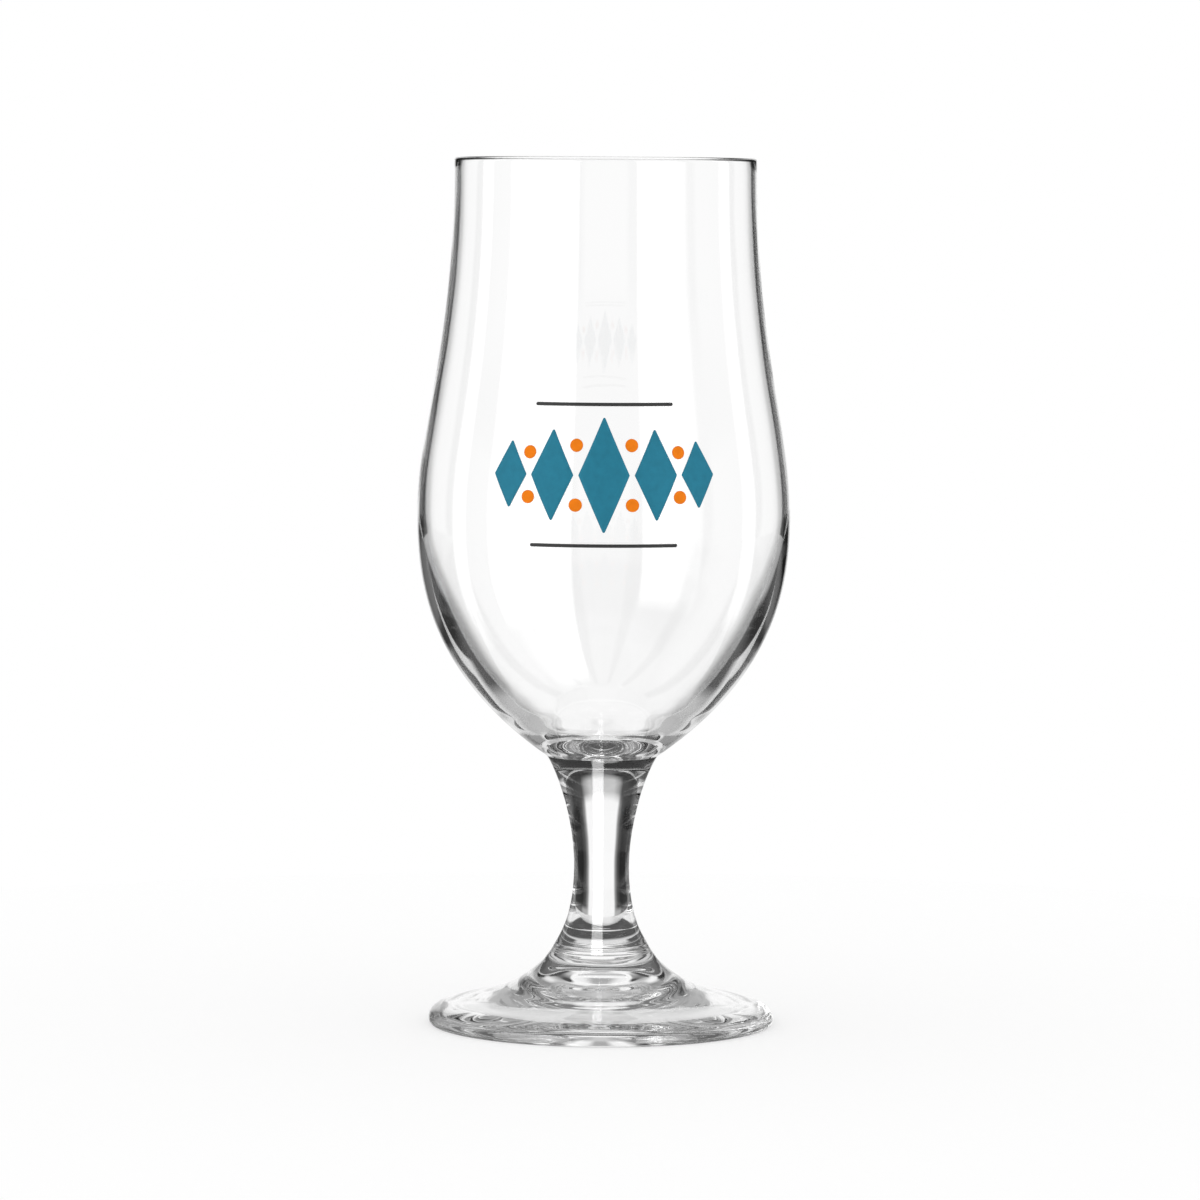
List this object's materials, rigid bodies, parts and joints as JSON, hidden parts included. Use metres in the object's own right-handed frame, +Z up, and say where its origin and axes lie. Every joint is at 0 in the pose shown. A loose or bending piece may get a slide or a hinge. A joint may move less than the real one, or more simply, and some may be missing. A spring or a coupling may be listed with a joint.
{
  "type": "stemmed beer glass",
  "caption": "Clear stemmed beer glass: tall bowl with a low belly and a plain rounded rim, short waisted stem, broad hollow foot and a printed frieze of lozenges.",
  "frame": {"origin": "on the table under the middle of the foot", "axes": "+Z up along the axis of the glass, -Y towards the printed front, +X to the viewer's right"},
  "size_m": [0.0772, 0.0774, 0.18],
  "materials": {
    "glass": "clear fire-polished soda-lime glass",
    "teal_ink": "fired screen-print ink, satin",
    "orange_ink": "fired screen-print ink, satin",
    "grey_ink": "fired screen-print ink, satin"
  },
  "bodies": {
    "root": {"bowl": "glass", "stem": "glass", "foot": "glass", "print_lozenge_middle": "teal_ink", "print_lozenge_left_1": "teal_ink", "print_lozenge_left_2": "teal_ink", "print_lozenge_right_1": "teal_ink", "print_lozenge_right_2": "teal_ink", "print_disc_left_1_upper": "orange_ink", "print_disc_left_1_lower": "orange_ink", "print_disc_left_2_upper": "orange_ink", "print_disc_left_2_lower": "orange_ink", "print_disc_right_1_upper": "orange_ink", "print_disc_right_1_lower": "orange_ink", "print_disc_right_2_upper": "orange_ink", "print_disc_right_2_lower": "orange_ink", "print_rule_upper": "grey_ink", "print_rule_lower": "grey_ink"}
  },
  "joints": []
}
